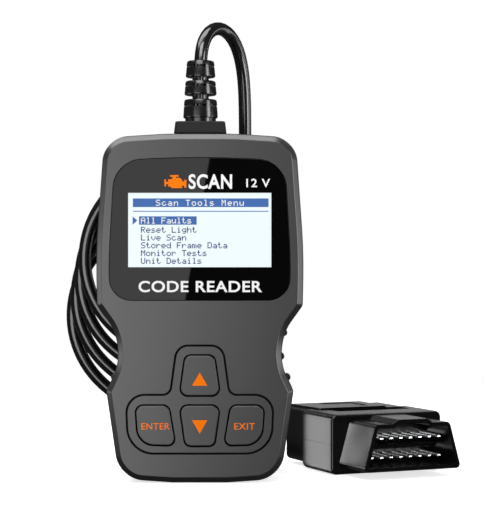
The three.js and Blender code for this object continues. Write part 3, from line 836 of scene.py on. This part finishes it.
def makeScreen():
    front = screenSet["front"]
    gap = 0.05
    wide, high = screenSet["width"] - gap, screenSet["height"] - gap
    panel = slab(screenSet["x"], screenSet["z"], wide, high, front, screenSet["back"])
    piece(panel, "screenPanel", "screenPaper")
    bars = [printed(boxCorners(*bar), front) for bar in menuSet["bars"]]
    piece(merged([*bars, printed(menuSet["arrow"], front)]), "menuBars", "barBlue")
    header, pitch, onBar = menuSet["header"], menuSet["headerPitch"], front - printSet["rise"]
    headerLeft = menuSet["headerX"] - len(header) * pitch * menuSet["dot"] / 2
    pale = dotText(header, headerLeft, menuSet["headerZ"], onBar, pitch)
    pale += dotText(menuSet["rows"][0], menuSet["rowX"], menuSet["firstZ"], onBar)
    piece(dotPlate(pale), "menuPaleDots", "printWhite")
    dark = []
    for number, row in enumerate(menuSet["rows"][1:]):
        dark += dotText(row, menuSet["rowX"], menuSet["secondZ"] - number * menuSet["rowPitch"], front)
    piece(dotPlate(dark), "menuDots", "inkBlue")


makeLens()
makeScreen()
print("display made")


collarSet = {
    "bottom": (19.0, 13.9, 125.6), "top": (18.0, 13.2, 129.9), "corner": 1.6, "edge": 0.5,
    "neck": (11.6, 8.6, 122.6), "bore": 2.6,
}
bootSet = {
    # each block: bottom, top, radius at the bottom and at the top
    "blocks": [(131.3, 138.1, 6.3, 5.95), (139.7, 144.9, 5.85, 5.5), (146.2, 152.2, 5.4, 4.95)],
    "core": 3.0, "foot": (129.95, 131.4, 5.6), "spine": (-0.25, 2.3, 4.5),
    "bandShare": 0.34, "bandDepth": 0.14, "bandHeight": 0.8,
    "windows": [(-2.1, 0.6), (-0.85, 1.0), (1.5, 1.1)], "windowFloor": 3.6, "cord": 2.55,
}


def turned(profile, steps=64):
    # Spins a list of (radius, z) about the z axis into a closed solid.
    bm = bmesh.new()
    verts = [bm.verts.new((r, 0, z)) for r, z in profile]
    edges = [bm.edges.new(pair) for pair in zip(verts, verts[1:])]
    if profile[0][0] > 1e-6:
        edges.append(bm.edges.new((verts[-1], verts[0])))
    bmesh.ops.spin(
        bm, geom=verts + edges, cent=(0, 0, 0), axis=(0, 0, 1), angle=2 * math.pi, steps=steps, use_merge=True,
        use_duplicate=False,
    )
    bmesh.ops.remove_doubles(bm, verts=bm.verts[:], dist=1e-4)
    bmesh.ops.recalc_face_normals(bm, faces=bm.faces[:])
    return bm


def drum(radius, low, high, steps=64):
    return turned([(0, low), (radius, low), (radius, high), (0, high)], steps)


def taperedBlock(bottom, top, corner, edge):
    # A rounded block whose two ends have their own sizes.
    (wide, deep, low), (topWide, topDeep, high) = bottom, top
    bm = brick((0, 0, (low + high) / 2), (1, 1, high - low))
    for v in bm.verts:
        w, d = (wide, deep) if v.co.z < (low + high) / 2 else (topWide, topDeep)
        v.co.x, v.co.y = math.copysign(w / 2, v.co.x), math.copysign(d / 2, v.co.y)
    softened(bm, lengthwise(bm, 2), corner, 6)
    softened(bm, [e for e in bm.edges if all(abs(v.co.z - high) < 1e-4 for v in e.verts)], edge, 3)
    return bm


def makeCollar():
    cap = taperedBlock(collarSet["bottom"], collarSet["top"], collarSet["corner"], collarSet["edge"])
    wide, deep, low = collarSet["neck"]
    top = collarSet["bottom"][2]
    neck = brick((0, 0, (low + top) / 2 + 0.5), (wide, deep, top - low + 1))
    cap = combined(cap, [neck], "UNION")
    cap = combined(cap, [drum(collarSet["bore"], low - 1, top + 6, 32)])
    return piece(cap, "cordCollar", "collarRubber", replaces=["cord_collar"], edge=0.15)


def makeBoot():
    footLow, footHigh, footRadius = bootSet["foot"]
    top = bootSet["blocks"][-1][1]
    shapes = [drum(footRadius, footLow, footHigh), drum(bootSet["core"], footLow, top - 0.5)]
    share, depth, half = bootSet["bandShare"], bootSet["bandDepth"], bootSet["bandHeight"] / 2
    for low, high, wide, narrow in bootSet["blocks"]:
        band = high - (high - low) * share
        skin = narrow + (wide - narrow) * share
        shapes.append(turned([
            (0, low), (wide - 0.5, low), (wide - 0.12, low + 0.2), (wide, low + 0.55),
            (skin, band - half), (skin - depth, band - half + 0.12), (skin - depth, band + half - 0.12),
            (skin, band + half), (narrow, high - 0.6), (narrow - 0.15, high - 0.2), (narrow - 0.55, high), (0, high),
        ]))
    boot = combined(shapes[0], shapes[1:], "UNION")
    spineX, spineWide, spineOut = bootSet["spine"]
    low, high = bootSet["blocks"][0][1] - 1, bootSet["blocks"][-1][0] + 1
    for side in (-1, 1):
        spine = brick((spineX * -side, side * spineOut / 2, (low + high) / 2), (spineWide, spineOut, high - low))
        softened(spine, [e for e in lengthwise(spine, 2) if e.verts[0].co.y * side > 1], 0.8, 5)
        boot = combined(boot, [spine], "UNION")
    tools = [drum(bootSet["cord"], footLow - 1, top + 1, 32)]
    for low, high, _, _ in bootSet["blocks"]:
        band = high - (high - low) * share
        rounds = drum(bootSet["windowFloor"], band - 3, band + 3, 48)
        slots = merged([
            brick((-side * x, side * 6, band), (span, 8, bootSet["bandHeight"]))
            for x, span in bootSet["windows"] for side in (-1, 1)
        ])
        tools.append(combined(slots, [rounds]))
    boot = combined(boot, tools)
    return piece(boot, "cordBoot", "bootRubber", replaces=["strain_relief"], edge=0.1, sharp=40)


makeCollar()
makeBoot()
print("collar and strain relief made")


plugSet = {
    "spot": (77.6, 1.2), "turn": 23.6, "split": 11.2, "seam": 0.015, "shellWall": 2.0, "broad": 30,
    "housing": {"wide": 46.6, "low": 0, "high": 22.3, "front": 19.8, "back": 45.6, "corner": 2.4},
    "tail": {"wide": 42.4, "low": 1.4, "high": 22.2, "back": 64.6, "corner": 2.0},
    "plateau": [(-17.5, 41.5, 1), (11.6, 41.5, 1), (11.6, 64.3, 1), (-19.4, 64.3, 1)], "plateauHigh": 22.9,
    # x, y, width, length, depth and corner of the panel and the slot sunk into the top
    "panel": (-1.4, 53.2, 14.5, 15.5, 0.25, 1.5), "slot": (1.4, 36.9, 32.0, 9.2, 1.3, 2.5), "slotFloor": 20.9,
    "shroud": [(6.1, 21.7, 0.5), (8.3, 20.2, 0.5), (15.5, 20.2, 1.8), (20.3, 2.9, 1.6)],
    "shroudWall": 1.5, "floor": 18, "shroudBack": 27,
    "rib": (30, 10.9, 1.6, 10), "pinRows": [7.4, 14.4], "pinPitch": 4, "pinSize": (1.75, 0.9), "pinGap": 0.2,
    "pinFront": 6.5, "pinBack": 29, "bootLow": 60.8, "bootHigh": 81.2, "bootZ": 11.2,
}
plugPlace = Matrix.Translation((*plugSet["spot"], 0)) @ Matrix.Rotation(math.radians(plugSet["turn"]), 4, "Z")
shroudOutline = mirrored(plugSet["shroud"])


def plugBlock(part, front, margin=0.0, **edges):
    # A part of the housing, or its inside when a margin is given.
    high, low = part["high"], part["low"]
    size = (part["wide"] - 2 * margin, high - low - 2 * margin)
    corners = boxCorners(0, (low + high) / 2, *size, max(0.4, part["corner"] - margin))
    return prism(corners, front, part["back"] - margin, **edges)


def raised(corners, low, high):
    # An outline in the level plane, given as x, y and corner radius, drawn up from low to high.
    bm = prism([(x, -y, radius) for x, y, radius in corners], low, high)
    bmesh.ops.transform(bm, matrix=Matrix.Rotation(math.pi / 2, 4, "X"), verts=bm.verts[:])
    return bm


def sunk(x, y, wide, deep, depth, corner, surface, segments):
    # A tool that sinks a rounded pocket into the top of the plug.
    pocket = brick((x, y, surface), (wide, deep, depth * 2))
    return softened(pocket, lengthwise(pocket, 2), corner, segments)


def makePlugHousing(name, node, upper):
    front = plugSet["housing"]["front"]
    wall = plugSet["shellWall"]
    body = plugBlock(plugSet["housing"], front, frontEdge=0.9, backEdge=1.3, segments=4)
    plateau = raised(plugSet["plateau"], 15, plugSet["plateauHigh"])
    body = combined(body, [plugBlock(plugSet["tail"], front + 8, backEdge=1.2, segments=4), plateau], "UNION")
    tools = [
        plugBlock(plugSet["housing"], front + wall, wall), plugBlock(plugSet["tail"], front + 20, wall),
        prism(grown(shroudOutline, 0.12), front - 5, front + 5), rod(0, plugSet["bootZ"], 4.15, 55, 70),
    ]
    if upper:
        tools.append(sunk(*plugSet["panel"], plugSet["plateauHigh"], 4))
        tools.append(sunk(*plugSet["slot"], plugSet["housing"]["high"], 5))
    level = plugSet["split"] + (plugSet["seam"] if upper else -plugSet["seam"])
    other = brick((0, 40, level - 20 if upper else level + 20), (80, 90, 40))
    body = combined(body, [*tools, other])
    x, y, wide, deep, *_ = plugSet["slot"]

    def slotShade(spot, normal):
        # the walls of the slot in the top, which lie in shade, are painted black as that shade
        spot = plugPlace.inverted() @ Vector(spot)
        over = abs(spot.x - x) < wide / 2 and abs(spot.y - y) < deep / 2 + 0.01
        return upper and over and abs(normal.z) < 0.9 and spot.z > plugSet["slotFloor"]

    return piece(
        body, name, "plugBlack", replaces=[node], place=plugPlace, edge=0.12,
        inner=slotShade, broad=plugSet["broad"],
    )


def pinSpots():
    return [((n - 3.5) * plugSet["pinPitch"], row) for row in plugSet["pinRows"] for n in range(8)]


def makeShroud():
    outer = prism(shroudOutline, 0, plugSet["shroudBack"], frontEdge=0.25)
    hollow = prism(grown(shroudOutline, -plugSet["shroudWall"]), -1, plugSet["floor"])
    shroud = combined(outer, [hollow])
    wide, z, thick, deep = plugSet["rib"]
    rib = brick((0, plugSet["floor"] - deep / 2 + 1.5, z), (wide, deep, thick))
    softened(rib, [e for e in rib.edges if all(v.co.y < plugSet["floor"] - deep / 2 for v in e.verts)], 0.4, 2)
    shroud = combined(shroud, [rib], "UNION")
    pinWide, pinThick = (size + plugSet["pinGap"] for size in plugSet["pinSize"])
    holes = [brick((x, plugSet["floor"] + 5, row), (pinWide, 14, pinThick)) for x, row in pinSpots()]
    shroud = combined(shroud, holes)
    back = prism(grown(shroudOutline, -plugSet["shroudWall"]), plugSet["floor"] + 2.5, plugSet["shroudBack"] + 1)
    shroud = combined(shroud, [back])
    return piece(
        shroud, "plugShroud", "shroudBlack", replaces=["plug_shroud"], place=plugPlace,
        edge=0.12, broad=plugSet["broad"],
    )


def makePins():
    wide, thick = plugSet["pinSize"]
    front, back = plugSet["pinFront"], plugSet["pinBack"]
    pins = []
    for x, row in pinSpots():
        pin = brick((x, (front + back) / 2, row), (wide, back - front, thick))
        tip = [f for f in pin.faces if f.calc_center_median().y < front + 0.1]
        bmesh.ops.inset_region(pin, faces=tip, thickness=0.3, depth=0)
        bmesh.ops.translate(pin, verts=tip[0].verts[:], vec=(0, -0.9, 0))
        softened(pin, lengthwise(pin, 1, 5), 0.22, 3)
        bmesh.ops.recalc_face_normals(pin, faces=pin.faces[:])
        pins.append(pin)
    nodes = [f"plug_pin_{n}" for n in range(1, 17)]
    return piece(merged(pins), "plugPins", "pinSilver", replaces=nodes, place=plugPlace)


def makePlugBoot():
    low, high = plugSet["bootLow"], plugSet["bootHigh"]
    profile = [(0, low), (4.3, low), (4.3, 65.2), (3.9, 65.6)]
    for start, end, wide, narrow in ((66.6, 70.2, 4.2, 4.0), (71.6, 75.0, 3.9, 3.7), (76.4, high, 3.6, 3.3)):
        profile += [(3.0, start - 0.9), (3.0, start), (wide - 0.3, start), (wide, start + 0.4)]
        profile += [(narrow, end - 0.4), (narrow - 0.3, end)]
    profile += [(0, high)]
    boot = turned(profile, 48)
    lay = Matrix.Translation((0, 0, plugSet["bootZ"])) @ Matrix.Rotation(-math.pi / 2, 4, "X")
    bmesh.ops.transform(boot, matrix=lay, verts=boot.verts[:])
    bmesh.ops.recalc_face_normals(boot, faces=boot.faces[:])
    boot = combined(boot, [rod(0, plugSet["bootZ"], 2.5, low - 2, high + 2)])
    return piece(
        boot, "plugBoot", "bootRubber", replaces=["plug_strain_relief"], place=plugPlace, edge=0.1,
    )


plugPieces = [
    makePlugHousing("plugUpper", "plug_housing_upper", True),
    makePlugHousing("plugLower", "plug_housing_lower", False),
    makeShroud(), makePins(), makePlugBoot(),
]
print("plug made")


# the parts that keep their own shape
keptFinishes = {
    "plateSilver": ["rating_plate"], "lensGloss": ["display_glass"], "diffuser": ["display_backlight"],
    "canSteel": ["display_bezel", "clock_crystal", "supply_capacitor"], "matGrey": ["key_mat"],
    "headerIvory": ["display_connector", "cord_header"], "boardGreen": ["circuit_board"],
    "switchBlack": [f"key_switch_{key}" for key in keySet["outlines"]],
    "chipBlack": ["processor_chip", "memory_chip", "bus_transceiver_chip", "voltage_regulator"],
    "screwSteel": [f"case_screw_{n}" for n in range(1, 5)],
}
for finish, nodes in keptFinishes.items():
    for node in nodes:
        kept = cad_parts[node]
        kept.data.materials.clear()
        kept.data.materials.append(finishes[finish].material)


floorSet = {"half": 400, "low": -0.2, "colour": (0.86, 0.86, 0.86), "roughness": 0.7, "glow": 0.72}
lightSet = {
    # name: place, aim, width, height, brightness, roll, what it lights
    "frontPanel": ((-330, -640, 25), (-330, 0, 25), 590, 404, 2.9, -9.7, "all"),
    "frontFill": ((-60, -420, 470), (0, 0, 60), 420, 260, 5.5, 0, "all"),
    "overhead": ((-185, -60, 640), (-60, 0, 60), 760, 340, 4.2, 0, "all"),
    "leftFill": ((-620, -20, 40), (0, -10, 50), 260, 200, 2.4, 0, "case"),
    "rightFill": ((640, -30, 60), (0, -10, 60), 240, 260, 2.4, 0, "reader"),
    "rightStrip": ((500, -300, 120), (20, 0, 100), 190, 460, 7.0, 0, "reader"),
    "backLeft": ((-300, 380, 520), (0, 0, 50), 300, 300, 4.0, 0, "solid"),
    "backRight": ((320, 360, 480), (0, 0, 50), 260, 260, 3.0, 0, "solid"),
    "plugSide": ((38.8, 24.5, 10), (48.0, 28.5, 10), 22, 26, 2.3, 0, "shells"),
    "shroudSide": ((-22, 82, 20), (62, 10, 10), 60, 60, 0.3, 0, "shroud", 40),
    "cordEdge": ((543, 253, 90), (0, 20, 90), 50, 420, 2.8, 0, "cord"),
    "plugBack": ((250, 760, 60), (70, 20, 20), 900, 260, 0.6, 0, "plug"),
    "pinLight": ((215, -125, 50), (75, 5, 12), 110, 110, 7.0, 0, "pins"),
    "pinEdge": ((8, 119, 83), (75, 5, 12), 60, 60, 2.5, 0, "pins"),
}


def makeFloor():
    bm = bmesh.new()
    half, low = floorSet["half"], floorSet["low"]
    bm.faces.new([bm.verts.new((x * half, y * half, low)) for x, y in ((-1, -1), (1, -1), (1, 1), (-1, 1))])
    finish = Finish(
        "floorWhite", floorSet["colour"], floorSet["roughness"], Specular_IOR_Level=0.1,
        Emission_Color=(1, 1, 1, 1), Emission_Strength=floorSet["glow"],
    )
    bmesh.ops.scale(bm, vec=(mm, mm, mm), verts=bm.verts[:])
    floor = added("floor", meshFrom(bm, "floor"))
    floor.data.materials.append(finish.material)
    floor.visible_glossy = False
    floor.visible_diffuse = False


# Some lamps reach only some of the pieces, as a card or a flag does in a studio.
lightGroups = {
    "plug": plugPieces, "reader": plugPieces, "case": [*plugPieces, cord], "shells": plugPieces[:2],
    "shroud": [plugPieces[2]], "solid": [cord], "pins": [plugPieces[3]], "cord": [cord],
}
ownShade = ("plug", "shells", "shroud", "pins")
for groupName, members in lightGroups.items():
    group = bpy.data.collections.new(f"lit {groupName}")
    lightGroups[groupName] = group
    for shape in members:
        group.objects.link(shape)
    for member in group.collection_objects:
        member.light_linking.link_state = "EXCLUDE" if groupName in ("reader", "case", "solid") else "INCLUDE"


def makeLight(name, spot, aim, width, height, brightness, roll, lit, spread=180):
    lamp = bpy.data.lights.new(name, "AREA")
    lamp.shape = "RECTANGLE"
    lamp.size, lamp.size_y = width * mm, height * mm
    lamp.energy = brightness * math.pi * lamp.size * lamp.size_y
    lamp.spread = math.radians(spread)
    holder = added(name, lamp)
    # its width lies level, and across the front when it points straight down
    ahead = (Vector(aim) - Vector(spot)).normalized()
    across = ahead.cross(Vector((0, 1, 0) if abs(ahead.z) > 0.85 else (0, 0, 1))).normalized()
    facing = Matrix((across, across.cross(ahead), -ahead)).transposed().to_4x4()
    tilt = Matrix.Rotation(math.radians(roll), 4, "Z")
    holder.matrix_world = Matrix.Translation(Vector(spot) * mm) @ facing @ tilt
    holder.visible_camera = False
    if lit in lightGroups:
        holder.light_linking.receiver_collection = lightGroups[lit]
    if lit in ownShade:
        holder.light_linking.blocker_collection = lightGroups[lit]


def makeWorld():
    world = bpy.data.worlds.new("studio")
    bpy.context.scene.world = world
    world.use_nodes = True
    nodes, links = world.node_tree.nodes, world.node_tree.links
    nodes.clear()
    kinds = ("LightPath", "Background", "Background", "MixShader", "OutputWorld")
    path, seen, around, mixed, out = (nodes.new(f"ShaderNode{kind}") for kind in kinds)
    seen.inputs["Color"].default_value = (1, 1, 1, 1)
    around.inputs["Color"].default_value = (0.06, 0.06, 0.06, 1)
    links.new(path.outputs["Is Camera Ray"], mixed.inputs[0])
    links.new(around.outputs[0], mixed.inputs[1])
    links.new(seen.outputs[0], mixed.inputs[2])
    links.new(mixed.outputs[0], out.inputs["Surface"])


makeFloor()
for lightName, settings in lightSet.items():
    makeLight(lightName, *settings)
makeWorld()
bpy.context.scene.view_settings.view_transform = "Standard"
print("lights set")
